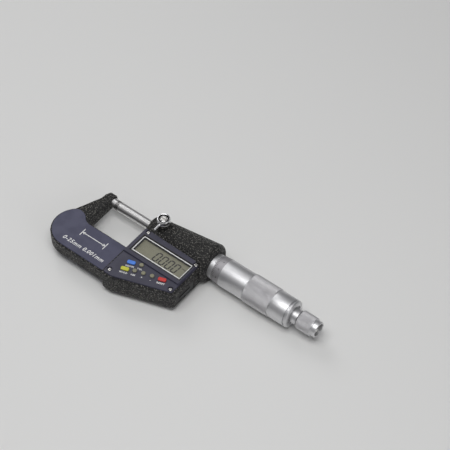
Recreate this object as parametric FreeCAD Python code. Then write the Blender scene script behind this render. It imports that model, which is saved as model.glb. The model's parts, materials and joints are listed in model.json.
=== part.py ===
import FreeCAD, Part
import math
import os

# Digital outside micrometer, 0 to 25 mm, in millimetres.
# +X runs along the spindle from the anvil to the ratchet, +Y from the bow to the spindle,
# +Z out of the front face. The origin is the centre of the anvil's measuring face.

V = FreeCAD.Vector
ALONG_X = V(1, 0, 0)
ALONG_Z = V(0, 0, 1)

# ---- measuring line -------------------------------------------------------------------------
travel = 25.4              # how far the spindle opens
spindle_r = 3.25
tip_length = 1.2           # carbide faces
running_gap = 0.05         # radial clearance of a shaft that turns or slides
fit_gap = 0.03             # radial clearance of parts that stay together
screw_r = 0.75             # small screws, and the holes that they are cut into
screw_hole_r = 0.8
anvil_face_x = 0.0
arm_face_x = -4.4          # inner face of the anvil arm
arm_back_x = -9.8
arm_boss_r = 4.7

# ---- C-frame --------------------------------------------------------------------------------
bow_half = 4.6             # half the thickness of arm and bow
throat_y = -24.6           # inner edge of the bow
bow_bottom_y = -48.4
bow_left_x = -22.6
plate_thick = 0.5          # heat-insulating plates on the bow
edge_break = 0.8

# ---- display housing ------------------------------------------------------------------------
house_left_x = 28.1
house_right_x = 73.9
house_front_z = 6.4
house_back_z = -7.5
back_z = -10.6             # plane that the micrometer rests on
slant = math.radians(18.7)  # rise of the slanted bottom edge and of the button rows
house_low_y = -50.0
house_slant_x = 35.3       # where the bottom edge starts to rise
panel_inset = 1.3
panel_front_z = 7.2
display_front_z = 8.2      # raised display block
display_low_y = -29.5
panel_top_left_y = -8.0
panel_top_right_y = -9.2

# ---- barrel ---------------------------------------------------------------------------------
barrel_x0 = 27.5
barrel_x1 = 76.5
barrel_r0 = 7.8
barrel_r1 = 13.1
barrel_shoulder_x = 73.6   # where the round end starts
lock_x = 37.0

# ---- sleeve, thimble and ratchet ------------------------------------------------------------
stem_r = 7.6
sleeve_r = 8.2
sleeve_end_x = 108.0
thimble_x0 = 79.8
thimble_bevel_x = 85.7
thimble_groove_x = 103.8
knurl_end_x = 122.5
thimble_x1 = 134.0         # a groove parts the thimble from its cap here
cap_ring_x = 134.8
thimble_end_x = 136.6
seat_x = 135.6             # bottom of the cap's counterbore, where the ratchet's base sits
seat_r = 6.2
thimble_r = 9.0
knurl_r = 9.4
thimble_bore_r = 8.3
thread_r = 3.45
neck_r = 4.9
ratchet_x0 = 140.9
ratchet_knurl_end_x = 151.1
ratchet_end_x = 154.6
ratchet_r = 6.0
ratchet_tail_r = 5.1
ratchet_core_r = 3.0       # shaft that the knob turns on
ratchet_cavity = (142.8, 150.25)
ratchet_disc_x = 143.1
ratchet_disc_thick = 1.2
ratchet_tooth = 0.5
pawl_ring_x = 144.9
pawl_ring_thick = 1.4
ratchet_seat_x = 151.6     # where the core ends and the screw's head bears

# ---- encoder --------------------------------------------------------------------------------
encoder_r = 10.5           # cavity in the barrel
encoder_x0 = 58.0
encoder_x1 = 72.5
rotor_x = 64.6
stator_x = 66.4
key_x = 62.0

# ---- display, buttons, board ----------------------------------------------------------------
window = (32.3, 70.6, -26.4, -12.8)     # x from, x to, y from, y to
window_z = (7.1, 7.9)
display_glass = (33.6, 69.5, -26.4, -13.0)
view = (33.6, 69.5, -25.2, -14.0)
board_z = 0.0
board_thick = 1.2
pocket = [(31.5, -46.3), (35.2, -46.5), (70.5, -34.6), (70.5, -11.5), (31.5, -11.5)]
screw_places = [(32.7, -9.8), (71.2, -11.4), (70.3, -34.4), (31.9, -45.3)]
screw_tops = [display_front_z, display_front_z, panel_front_z, panel_front_z]
post_r = 1.5
boss_z = 5.6               # under its two lower screws the thin panel stands on bosses
boss_r = 2.25
post_tops = [house_front_z, house_front_z, boss_z, boss_z]
screw_recess = 1.0         # depth of a panel screw's recess
recess_r = 1.75
panel_head_r = 1.15
button_gap = 0.12          # all round a button in the panel
button_top_z = 7.95
bar_size = (5.2, 2.6)
round_r = 1.4
bar_buttons = {"button_return": (39.2, -33.6), "button_hold": (39.2, -39.6), "button_reset": (62.1, -32.2)}
round_buttons = {
    "button_tolerance": (45.3, -31.4),
    "button_absolute": (44.8, -37.1),
    "button_plus": (50.1, -35.4),
    "button_minus": (55.6, -33.8),
}

# ---- back: cover, battery -------------------------------------------------------------------
cell_place = (47.0, -29.0)
cell_r = 10.0
cell_z = (-9.5, -6.3)
cap_r = 11.0
cap_z = -9.6               # inner face of the battery cap
cover_points = [(31.3, -46.4), (35.8, -46.8), (70.6, -35.0), (70.6, -13.0), (31.3, -13.0)]
cover_screw_places = [(33.8, -43.6), (33.8, -15.4), (68.2, -15.4), (67.6, -33.6)]

# ---- data port ------------------------------------------------------------------------------
port_y = -25.5
port_z = -2.6
port_width = 15.0
port_height = 4.6
port_socket_x = 67.5


# ---- shape helpers --------------------------------------------------------------------------
def rod(x0, x1, r):
    """Cylinder along the spindle axis."""
    return Part.makeCylinder(r, x1 - x0, V(x0, 0, 0), ALONG_X)


def tube(x0, x1, outer, inner):
    return rod(x0, x1, outer).cut(rod(x0 - 1, x1 + 1, inner))


def disc(place, z0, z1, r):
    """Cylinder along Z at an (x, y) place."""
    return Part.makeCylinder(r, z1 - z0, V(place[0], place[1], z0), ALONG_Z)


def box(x0, x1, y0, y1, z0, z1):
    return Part.makeBox(x1 - x0, y1 - y0, z1 - z0, V(x0, y0, z0))


def turned(points):
    """Solid of revolution about the spindle axis from (x, r) points. A pair of points is an arc."""
    edges = outline_edges(points, lambda x, r: V(x, r, 0))
    face = Part.Face(Part.Wire(edges))
    return face.revolve(V(0, 0, 0), ALONG_X, 360)


def outline_edges(points, place):
    """Edges of a closed outline. Each item is a corner (a, b), or ((a, b), (a, b)), which is a point
    that an arc passes through and the arc's end."""
    edges = []
    first = place(*points[0])
    here = first
    for item in points[1:] + [points[0]]:
        if isinstance(item[0], tuple):
            through, end = place(*item[0]), place(*item[1])
            edges.append(Part.Arc(here, through, end).toShape())
        else:
            end = place(*item)
            if here.distanceToPoint(end) < 1e-7:
                continue
            edges.append(Part.LineSegment(here, end).toShape())
        here = end
    return edges


def slab(points, z0, z1):
    """Flat piece with the given outline, from z0 to z1."""
    face = Part.Face(Part.Wire(outline_edges(points, lambda x, y: V(x, y, z0))))
    return face.extrude(V(0, 0, z1 - z0))


def upright_edges(shape):
    return [e for e in shape.Edges if abs(e.tangentAt(e.FirstParameter).z) > 0.999]


def rounded_corners(shape, r):
    return shape.makeFillet(r, upright_edges(shape))


def edges_at(shape, z, length=0.5):
    """Edges that lie in a plane of constant z."""
    found = []
    for e in shape.Edges:
        flat = all(abs(v.Z - z) < 1e-6 for v in e.Vertexes)
        if flat and e.Length > length and abs(e.BoundBox.ZLength) < 1e-6:
            found.append(e)
    return found


def frustum(place, z0, z1, r0, r1):
    return Part.makeCone(r0, r1, z1 - z0, V(place[0], place[1], z0), ALONG_Z)


def turned_about_z(shape, place, angle):
    shape = shape.copy()
    shape.rotate(V(place[0], place[1], 0), ALONG_Z, math.degrees(angle))
    return shape


def bar(place, z0, z1, grow=0.0):
    """Button bar with rounded ends, laid along the slanted bottom edge."""
    w, h = bar_size[0] / 2 + grow, bar_size[1] / 2 + grow
    x, y = place
    shape = box(x - w, x + w, y - h, y + h, z0, z1)
    shape = rounded_corners(shape, 0.9 + grow)
    return turned_about_z(shape, place, slant)


def joined(shapes):
    whole = shapes[0].multiFuse(shapes[1:])
    return whole.removeSplitter()


def group(shapes):
    return Part.makeCompound(shapes)


# ---- frame ----------------------------------------------------------------------------------
def house_outline(inset):
    """Outline of the display housing, drawn in by a distance."""
    left, right = house_left_x + inset, house_right_x - inset
    low = house_low_y + inset
    # the slanted edge moves square to itself
    start = house_slant_x + inset * math.tan(slant / 2)
    low_right = low + (right - start) * math.tan(slant)
    return left, right, low, start, low_right


def bow_outline():
    """Arm and bow, drawn in the plane of the display."""
    return [
        (arm_face_x, 0.0),
        (arm_face_x, throat_y + 4.0),
        ((arm_face_x + 1.17, throat_y + 1.17), (arm_face_x + 4.0, throat_y)),
        (house_left_x + 4.0, throat_y),
        (house_left_x + 4.0, bow_bottom_y),
        (-6.5, bow_bottom_y),
        ((-17.9, -43.5), (bow_left_x, -33.0)),
        ((-21.2, -25.9), (-17.4, -20.6)),
        (-10.0, -3.0),
        (arm_back_x, 0.0),
    ]


def bow_body():
    shape = slab(bow_outline(), -bow_half, bow_half)
    rims = edges_at(shape, bow_half) + edges_at(shape, -bow_half)
    rims = [e for e in rims if e.BoundBox.XMin < house_left_x + 3.9 and e.BoundBox.YMax < -0.01]
    return shape.makeChamfer(edge_break * 0.7, rims)


def house_body():
    left, right, low, start, low_right = house_outline(0.0)
    shape = slab([(left, low), (start, low), (right, low_right), (right, -2), (left, -2)],
                 house_back_z, house_front_z)
    corners = [e for e in upright_edges(shape) if e.BoundBox.YMax < -3]
    shape = shape.makeFillet(2.2, corners)
    rims = [e for e in edges_at(shape, house_front_z) if e.BoundBox.YMin < -2.1]
    rims += [e for e in edges_at(shape, house_back_z) if e.BoundBox.YMin < -2.1]
    return shape.makeChamfer(edge_break, rims)


def barrel_body():
    shape = turned([
        (barrel_x0, 0),
        (barrel_x0, barrel_r0 - 1.8),
        ((barrel_x0 + 0.5, barrel_r0 - 0.5), (barrel_x0 + 1.8, barrel_r0)),
        (barrel_shoulder_x, barrel_r1),
        ((barrel_x1 - 0.8, barrel_r1 - 1.0), (barrel_x1, barrel_r1 - 3.3)),
        (barrel_x1, 0),
    ])
    return shape.common(box(0, 100, -20, 20, back_z, 20))


def arm_boss():
    shape = rod(arm_back_x, arm_face_x, arm_boss_r)
    return shape.makeChamfer(edge_break, [e for e in shape.Edges if e.BoundBox.XLength < 1e-6])


def frame():
    lock_boss = frustum((lock_x, 0), 4.0, 10.4, 5.2, 4.5)
    solid = joined([bow_body(), arm_boss(), house_body(), barrel_body(), lock_boss])
    posts = [disc(p, house_back_z, top, post_r) for p, top in zip(screw_places, post_tops)]
    hollow = slab(pocket, -4.5, house_front_z + 1).cut(group(posts))
    solid = solid.cut(hollow)
    cuts = [
        disc(cell_place, house_back_z - 1, 0, cell_r + 1.6),
        rod(arm_back_x - 1, arm_face_x + 1, spindle_r),
        rod(barrel_x0 - 1, barrel_x0 + 1.5, spindle_r + 0.3),
        rod(barrel_x0 + 1.0, 44, 4.8),
        rod(43, encoder_x0 + 1, 4.0),
        rod(encoder_x0, encoder_x1, encoder_r),
        rod(encoder_x1 - 1, barrel_x1 + 1, stem_r + fit_gap),
        box(60, 70, -12.5, -8, -4, 3),
        disc((lock_x, 0), 4.0, 12, 2.3),
        port_slot(1.0, port_socket_x - 0.2, house_right_x + 1),
    ]
    cuts += [disc(p, boss_z, 8, boss_r + 0.1) for p in screw_places[2:]]
    cuts += [disc(p, display_front_z - screw_recess, display_front_z + 2, recess_r) for p in screw_places[:2]]
    cuts += [disc(p, 2.6, 8, screw_hole_r) for p in screw_places]
    cuts += [disc(p, house_back_z - 1, -5.0, screw_hole_r) for p in cover_screw_places]
    for cut in cuts:
        solid = solid.cut(cut)
    return solid


def port_slot(grow, x0, x1):
    """Block the size of the data port, grown by a margin all round."""
    half_y, half_z = port_width / 2 + grow, port_height / 2 + grow
    shape = box(x0, x1, port_y - half_y, port_y + half_y, port_z - half_z, port_z + half_z)
    along = [e for e in shape.Edges if abs(e.tangentAt(e.FirstParameter).x) > 0.999]
    return shape.makeFillet(0.9, along)


def bow_plate(front):
    """Insulating plate that follows the bow a little inside its edge."""
    outline = [
        (-6.4, -47.5),
        ((-17.2, -42.9), (-21.7, -33.0)),
        ((-20.4, -26.2), (-16.6, -21.2)),
        ((-14.6, -20.1), (-12.0, -20.2)),
        ((-9.3, -21.0), (-7.0, -22.9)),
        ((-4.6, -24.7), (-1.2, -25.4)),
        (house_left_x, -25.4),
        (house_left_x, -47.5),
    ]
    z0 = bow_half if front else -bow_half - plate_thick
    shape = slab(outline, z0, z0 + plate_thick)
    outer = bow_half + plate_thick if front else z0
    rims = [e for e in edges_at(shape, outer) if e.BoundBox.XMin < house_left_x - 0.1]
    return shape.makeChamfer(0.2, rims)


def anvil():
    shape = rod(arm_back_x + 0.4, anvil_face_x - tip_length, spindle_r)
    return shape.makeChamfer(0.2, [e for e in shape.Edges if abs(e.BoundBox.XMax - arm_back_x - 0.4) < 1e-3])


def measuring_tip(x0, x1, face_x):
    shape = rod(x0, x1, spindle_r)
    return shape.makeChamfer(0.15, [e for e in shape.Edges if abs(e.BoundBox.XMin - face_x) < 1e-3
                                    and e.BoundBox.XLength < 1e-6])


# ---- panel and display ----------------------------------------------------------------------
def front_panel():
    left, right, low, start, low_right = house_outline(panel_inset)
    base = slab([(left, low), (start, low), (right, low_right), (right, panel_top_right_y),
                 (left, panel_top_left_y)], house_front_z, panel_front_z)
    corners = [e for e in upright_edges(base) if e.BoundBox.YMax < -30]
    base = base.makeFillet(1.4, corners)
    base = base.makeChamfer(0.3, edges_at(base, panel_front_z))
    block = slab([(left, display_low_y), (right - 0.4, display_low_y),
                  (right - 0.4, panel_top_right_y + 0.02), (left, panel_top_left_y)],
                 house_front_z, display_front_z)
    block = block.makeChamfer(0.35, edges_at(block, display_front_z))
    bosses = [disc(place, boss_z, house_front_z, boss_r) for place in screw_places[2:]]
    shape = joined([base, block] + bosses)
    shape = shape.cut(barrel_body())
    shape = shape.cut(window_plate(0.1, window_z[0], display_front_z + 1))
    x0, x1, y0, y1 = view
    shape = shape.cut(box(x0, x1, y0, y1, 6, 9))
    for place, top in zip(screw_places, screw_tops):
        shape = shape.cut(disc(place, top - screw_recess, top + 1, recess_r))
        shape = shape.cut(disc(place, boss_z - 1, 9, screw_hole_r + 0.1))
    for place in bar_buttons.values():
        shape = shape.cut(bar(place, 6, 9, button_gap))
    for place in round_buttons.values():
        shape = shape.cut(disc(place, 6, 9, round_r + button_gap))
    return shape


def panel_screws():
    screws = []
    for place, top in zip(screw_places, screw_tops):
        head_z = top - screw_recess
        head = disc(place, head_z, head_z + 0.75, panel_head_r)
        head = head.makeFillet(0.3, edges_at(head, head_z + 0.75))
        shank = disc(place, head_z - 3.4, head_z, screw_r)
        cross = box(place[0] - 0.85, place[0] + 0.85, place[1] - 0.15, place[1] + 0.15,
                    head_z + 0.35, head_z + 1)
        other = turned_about_z(cross, place, math.pi / 2)
        screws.append(head.fuse(shank).cut(cross).cut(other))
    return group(screws)


def window_plate(grow, z0, z1):
    """Rectangle of the window, grown by a margin, with a notch where the screw beside it goes."""
    x0, x1, y0, y1 = window
    shape = box(x0 - grow, x1 + grow, y0 - grow, y1 + grow, z0, z1)
    shape = rounded_corners(shape, 0.4 + grow)
    return shape.cut(disc(screw_places[1], z0 - 1, z1 + 1, recess_r + 0.3 - grow))


def lcd_window():
    return window_plate(0.0, *window_z)


def lcd_module():
    x0, x1, y0, y1 = display_glass
    lower = box(x0, x1, y0, y1, 4.6, 5.3)
    upper = box(x0, x1, y0 + 1.4, y1 - 1.4, 5.3, 6.0)
    return lower.fuse(upper)


def lcd_holder():
    x0, x1, y0, y1 = display_glass
    outer = box(x0 - 1.0, x1 + 0.8, y0 - 1.6, y1 + 1.4, board_thick, 6.3)
    shape = outer.cut(box(x0 - 0.05, x1 + 0.05, y0 - 0.05, y1 + 0.05, 0, 7))
    for place in screw_places[:2]:
        shape = shape.cut(disc(place, 0, 7, post_r + 0.2))
    return shape


def contact_strips():
    x0, x1, y0, y1 = display_glass
    low = box(x0 + 1, x1 - 1, y0 + 0.05, y0 + 1.3, board_thick, 4.6)
    high = box(x0 + 1, x1 - 1, y1 - 1.3, y1 - 0.05, board_thick, 4.6)
    return group([low, high])


def circuit_board():
    points = [(31.9, -45.9), (35.3, -46.1), (70.1, -34.3), (70.1, -11.9), (31.9, -11.9)]
    shape = slab(points, board_z, board_z + board_thick)
    for place in screw_places:
        shape = shape.cut(disc(place, -1, 3, post_r + 0.3))
    return shape


def board_components():
    low, top = board_z - 1.2, board_z
    processor = box(58, 66, -29, -21, low, top)
    driver = box(61, 66, -20.4, -16.0, low, top)
    crystal = box(35, 41, -43, -41, low, top)
    capacitors = [box(x, x + 1.6, -17, -15.8, low + 0.4, top) for x in (36, 39, 42, 45)]
    return group([processor, driver, crystal] + capacitors)


def button_mat():
    points = [(32.2, -45.2), (35.3, -45.6), (69.6, -33.9), (69.6, -28.7), (32.2, -28.7)]
    shape = slab(points, board_thick, 4.6)
    for place in screw_places[2:]:
        shape = shape.cut(disc(place, 0, 6, post_r + 0.3))
    for place in list(bar_buttons.values()) + list(round_buttons.values()):
        shape = shape.cut(disc(place, board_thick - 1, 3.9, 1.6))
    return shape


def bar_button(place):
    cap = bar(place, 5.9, button_top_z)
    cap = cap.makeFillet(0.25, edges_at(cap, button_top_z, 0.1))
    return cap.fuse(bar(place, 5.1, 5.9, 0.35))


def round_button(place):
    cap = disc(place, 5.9, button_top_z, round_r)
    cap = cap.makeFillet(0.35, edges_at(cap, button_top_z))
    return cap.fuse(disc(place, 5.1, 5.9, round_r + 0.4))


# ---- back: cover and battery ----------------------------------------------------------------
def rear_cover():
    shape = rounded_corners(slab(cover_points, back_z, house_back_z), 1.6)
    shape = shape.makeChamfer(0.5, edges_at(shape, back_z))
    inner = [(33.3, -40), (36.0, -40), (66.5, -31.5), (66.5, -18), (33.3, -18)]
    shape = shape.cut(slab(inner, -8.9, house_back_z + 1))
    ledge = disc(cell_place, -9.0, house_back_z, cap_r + 1.3)
    shape = shape.fuse(ledge)
    shape = shape.cut(disc(cell_place, back_z - 1, -9.0, cap_r + 0.15))
    shape = shape.cut(disc(cell_place, -9.5, -7, cell_r + 0.3))
    for place in cover_screw_places:
        shape = shape.cut(disc(place, back_z - 1, back_z + 1.1, 1.75))
        shape = shape.cut(disc(place, -12, -7, 1.0))
    return shape


def rear_cover_seal():
    """Thin gasket under the rim of the rear cover, let into the cover's groove."""
    outer = slab([(32.2, -45.4), (36.0, -45.8), (69.7, -34.4), (69.7, -13.9), (32.2, -13.9)],
                 -8.0, house_back_z)
    inner = slab([(32.8, -44.8), (36.1, -45.1), (69.1, -33.9), (69.1, -14.5), (32.8, -14.5)],
                 -9.0, house_back_z + 1)
    return outer.cut(inner)


def rear_cover_screws():
    screws = []
    for place in cover_screw_places:
        head = disc(place, back_z + 0.3, back_z + 1.1, 1.5)
        shank = disc(place, back_z + 1.1, -5.2, screw_r)
        slot = box(place[0] - 2, place[0] + 2, place[1] - 0.2, place[1] + 0.2, back_z, back_z + 0.7)
        screws.append(head.fuse(shank).cut(slot))
    return group(screws)


def battery_cap():
    shape = disc(cell_place, back_z, cap_z, cap_r)
    shape = shape.makeChamfer(0.3, edges_at(shape, back_z))
    x, y = cell_place
    return shape.cut(box(x - 7, x + 7, y - 0.8, y + 0.8, back_z - 1, back_z + 0.6))


def battery_seal():
    return Part.makeTorus(cap_r - 0.25, 0.3, V(cell_place[0], cell_place[1], cap_z + 0.3), ALONG_Z)


def button_cell():
    case = disc(cell_place, cell_z[0], cell_z[1] - 0.5, cell_r)
    case = case.makeFillet(0.4, edges_at(case, cell_z[0]))
    return case.fuse(disc(cell_place, cell_z[1] - 0.5, cell_z[1], cell_r - 1.2))


def battery_contacts():
    """A bent leaf on the cell's inner pole and a side clip on its case."""
    x, y = cell_place
    top = board_z
    leaf_points = [(x - 5, top), (x + 5, top), (x + 5, top - 0.3), (x + 3.6, top - 0.3),
                   (x - 0.5, cell_z[1]), (x - 3.5, cell_z[1]), (x - 3.5, cell_z[1] + 0.3),
                   (x - 0.7, cell_z[1] + 0.3), (x + 3.1, top - 0.3), (x - 5, top - 0.3)]
    edges = outline_edges(leaf_points, lambda a, b: V(a, y - 2, b))
    leaf = Part.Face(Part.Wire(edges)).extrude(V(0, 4, 0))
    side = box(x + cell_r + 0.05, x + cell_r + 0.35, y - 2, y + 2, -7.3, top)
    return group([leaf, side])


# ---- data port ------------------------------------------------------------------------------
def data_port_socket():
    body = port_slot(0.0, port_socket_x, house_right_x - 2.2)
    mouth = port_slot(-1.0, 69.0, house_right_x)
    return body.cut(mouth)


def data_port_cover():
    """Plug that fills the slot and pulls straight out."""
    plate = port_slot(0.85, house_right_x - 2.0, house_right_x - 0.2)
    grip = box(house_right_x - 0.3, house_right_x + 0.25, port_y - 5, port_y + 5,
               port_z - 0.45, port_z + 0.45)
    tongue = port_slot(-1.2, house_right_x - 3.6, house_right_x - 1.9)
    return joined([plate, grip, tongue])


# ---- barrel internals -----------------------------------------------------------------------
def spindle_bush():
    shape = tube(barrel_x0 + 1.0, 44, 4.8, spindle_r + running_gap)
    return shape.cut(disc((lock_x, 0), 0, 10, 1.5))


def lock_shoe():
    """Pin that the lock screw pushes onto the spindle."""
    pin = disc((lock_x, 0), 0.0, 5.9, 1.45)
    return pin.cut(rod(lock_x - 5, lock_x + 5, spindle_r + running_gap))


def stem():
    """Inner sleeve: flange in the barrel, female thread, and a slit tail for the adjusting nut."""
    tail_x, end_x = sleeve_end_x, 118.0
    shape = joined([
        rod(70.0, encoder_x1, encoder_r - 0.2),
        rod(encoder_x1, tail_x, stem_r),
        rod(tail_x, end_x, 6.0),
    ])
    shape = shape.cut(rod(69, 92, 5.0))
    shape = shape.cut(rod(91, end_x + 1, thread_r + running_gap))
    slit = box(tail_x - 4, end_x + 1, -0.4, 0.4, -9, 9)
    return shape.cut(slit)


def outer_sleeve():
    shape = tube(barrel_x1, sleeve_end_x, sleeve_r, stem_r)
    return shape.makeChamfer(0.2, [e for e in shape.Edges if abs(e.BoundBox.ZMax - sleeve_r) < 1e-3
                                   and e.BoundBox.XLength < 1e-6])


def adjusting_nut():
    shape = tube(110.0, 117.0, stem_r, 6.0 + fit_gap)
    for turn in (0, 90):
        notch = box(115.5, 118, -0.7, 0.7, -9, 9)
        notch.rotate(V(0, 0, 0), ALONG_X, turn)
        shape = shape.cut(notch)
    return shape


def encoder_stator():
    return tube(stator_x, stator_x + 1.4, encoder_r - 0.2, 4.2)


def encoder_ribbon():
    """Flat cable from the stator's rear face to the underside of the board."""
    x = stator_x + 1.4
    drop = box(x, x + 0.2, -15.5, -6.0, -3.2, board_z)
    foot = box(x - 6, x + 0.2, -15.5, -12.6, board_z - 0.2, board_z)
    return drop.fuse(foot)


def rotor_disc():
    return tube(rotor_x, rotor_x + 1.0, encoder_r - 0.5, 5.0)


def rotor_hub():
    bore = spindle_r + running_gap
    shape = tube(59.5, rotor_x, 5.6, bore).fuse(tube(rotor_x, rotor_x + 1.4, 5.0, bore))
    return shape.cut(disc((key_x, 0), -9, 0, 0.8))


def rotor_key():
    """Pin in the hub whose nose runs in the spindle's keyway."""
    return disc((key_x, 0), -5.5, -2.75, 0.8)


# ---- spindle body ---------------------------------------------------------------------------
def spindle():
    nose = rod(tip_length, 66.0, spindle_r)
    thread = rod(66.0, 122.0, thread_r)
    cone = turned([(122.0, 0), (122.0, thread_r), (130.0, 2.6), (130.0, 0)])
    stub = rod(130.0, 139.5, 1.9)
    shape = joined([nose, thread, cone, stub])
    keyway = box(key_x - travel - 1.6, 66.0, -0.85, 0.85, -4, -2.6)
    return shape.cut(keyway)


def thimble():
    shape = turned([
        (thimble_x0, thimble_bore_r),
        (thimble_x0, thimble_bore_r + 0.15),
        (thimble_bevel_x, thimble_r),
        (thimble_groove_x - 0.35, thimble_r),
        (thimble_groove_x - 0.35, thimble_r - 0.3),
        (thimble_groove_x, thimble_r - 0.3),
        (thimble_groove_x + 0.3, knurl_r),
        (knurl_end_x, knurl_r),
        (knurl_end_x + 0.4, thimble_r),
        (thimble_x1 - 0.2, thimble_r),
        (thimble_x1, thimble_r - 0.2),
        (thimble_x1, thimble_bore_r),
    ])
    return shape


def thimble_cap():
    shape = turned([
        (126.0, 0),
        (126.0, thimble_bore_r - fit_gap),
        (cap_ring_x, thimble_bore_r - fit_gap),
        (cap_ring_x, thimble_r - 0.25),
        ((cap_ring_x + 0.25, thimble_r - 0.05), (cap_ring_x + 0.6, thimble_r)),
        ((thimble_end_x - 0.4, thimble_r - 0.5), (thimble_end_x, thimble_r - 1.6)),
        (thimble_end_x, seat_r),
        (seat_x, seat_r),
        (seat_x, 0),
    ])
    bore = turned([(122.0, 0), (122.0, thread_r + fit_gap), (130.0, 2.6 + fit_gap), (136.0, 2.6 + fit_gap),
                   (136.0, 0)])
    return shape.cut(bore)


def ratchet_base():
    shape = turned([
        (seat_x, 0),
        (seat_x, neck_r),
        (ratchet_x0 - 0.3, neck_r),
        (ratchet_x0 - 0.3, ratchet_core_r),
        (ratchet_seat_x, ratchet_core_r),
        (ratchet_seat_x, 0),
    ])
    shape = shape.cut(rod(130, 140, 1.9 + fit_gap))
    return shape.cut(rod(143.0, ratchet_end_x, 1.2))


def ratchet_screw():
    x0 = ratchet_seat_x + 0.05
    x1 = x0 + 1.6
    head = rod(x0, x1, 3.0)
    head = head.makeChamfer(0.3, [e for e in head.Edges if abs(e.BoundBox.XMin - x1) < 1e-3])
    slot = box(x1 - 0.7, x1 + 1, -3.5, 3.5, -0.35, 0.35)
    return head.fuse(rod(143.5, x0, 1.2)).cut(slot)


def face_teeth(x_low, x_high, tilt):
    """Ring of saw teeth, each a wedge that stands on one face."""
    teeth = []
    count, inner, outer = 16, 3.5, 4.5
    for i in range(count):
        wedge_points = [(x_low, -0.6), (x_high, -0.6), (x_low, 0.5)]
        edges = outline_edges(wedge_points, lambda x, y: V(x, y, inner))
        wedge = Part.Face(Part.Wire(edges)).extrude(V(0, 0, outer - inner))
        wedge.rotate(V(0, 0, 0), ALONG_X, (i + tilt) * 360.0 / count)
        teeth.append(wedge)
    return teeth


def ratchet_disc():
    x1 = ratchet_disc_x + ratchet_disc_thick
    ring = tube(ratchet_disc_x, x1, 4.7, ratchet_core_r + fit_gap)
    return ring.multiFuse(face_teeth(x1, x1 + ratchet_tooth, 0.0))


def ratchet_pawl_ring():
    return tube(pawl_ring_x, pawl_ring_x + pawl_ring_thick, 4.7, ratchet_core_r + 0.1)


def ratchet_spring():
    """Stack of dished disc springs, set face to face and back to back."""
    count, thick, dish, gap = 4, 0.4, 0.5, 0.02
    inner, outer = ratchet_core_r + 0.15, 4.7
    washers = []
    x = pawl_ring_x + pawl_ring_thick + gap
    for i in range(count):
        lean_in, lean_out = (0.0, dish) if i % 2 == 0 else (dish, 0.0)
        washers.append(turned([
            (x + lean_in, inner),
            (x + lean_in + thick, inner),
            (x + lean_out + thick, outer),
            (x + lean_out, outer),
        ]))
        x += thick + dish + gap
    return group(washers)


def ratchet_knob():
    shape = turned([
        (ratchet_x0, 0),
        (ratchet_x0, ratchet_r - 1.0),
        (ratchet_x0 + 0.9, ratchet_r),
        (ratchet_knurl_end_x, ratchet_r),
        (ratchet_knurl_end_x + 0.3, ratchet_tail_r),
        (ratchet_end_x - 0.4, ratchet_tail_r),
        (ratchet_end_x, ratchet_tail_r - 0.35),
        (ratchet_end_x, 0),
    ])
    cuts = [
        rod(ratchet_x0 - 1, ratchet_end_x, ratchet_core_r + running_gap),
        rod(*ratchet_cavity, 4.85),
        rod(ratchet_seat_x, ratchet_end_x + 1, 4.1),
    ]
    for cut in cuts:
        shape = shape.cut(cut)
    return shape


# ---- lock -----------------------------------------------------------------------------------
def lock_lever():
    """Round knob with a dished top on a threaded stem."""
    z0, z1, r = 10.8, 15.5, 4.2
    outline = [
        (0, 6.0), (2.2, 6.0), (2.2, z0 - 0.2), (2.9, z0 - 0.2), (2.9, z0),
        (r - 0.5, z0), (r, z0 + 0.5), (r, z1 - 0.7), (r - 0.6, z1),
        (r - 1.0, z1), (r - 1.4, z1 - 1.0), (0, z1 - 1.0),
    ]
    edges = outline_edges(outline, lambda a, b: V(lock_x + a, 0, b))
    shape = Part.Face(Part.Wire(edges)).revolve(V(lock_x, 0, 0), ALONG_Z, 360)
    return shape.cut(disc((lock_x, 0), 9.0, 16, 1.0)).cut(rod_hole())


def rod_hole():
    return Part.makeCylinder(0.75, 2.2, V(lock_x, -2.4, 13.0), V(0, -1, 0))


def lock_rod():
    shape = Part.makeCylinder(0.75, 6.4, V(lock_x, -2.6, 13.0), V(0, -1, 0))
    return shape.makeFillet(0.35, [e for e in shape.Edges if e.BoundBox.YLength < 1e-6
                                   and e.BoundBox.YMax < -8])


def lock_screw():
    z = 14.5
    head = disc((lock_x, 0), z, z + 0.7, 1.9)
    head = head.makeFillet(0.25, edges_at(head, z + 0.7))
    slot = box(lock_x - 3, lock_x + 3, -0.25, 0.25, z + 0.3, z + 1)
    return head.cut(slot).fuse(disc((lock_x, 0), 9.2, z, 1.0))


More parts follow.
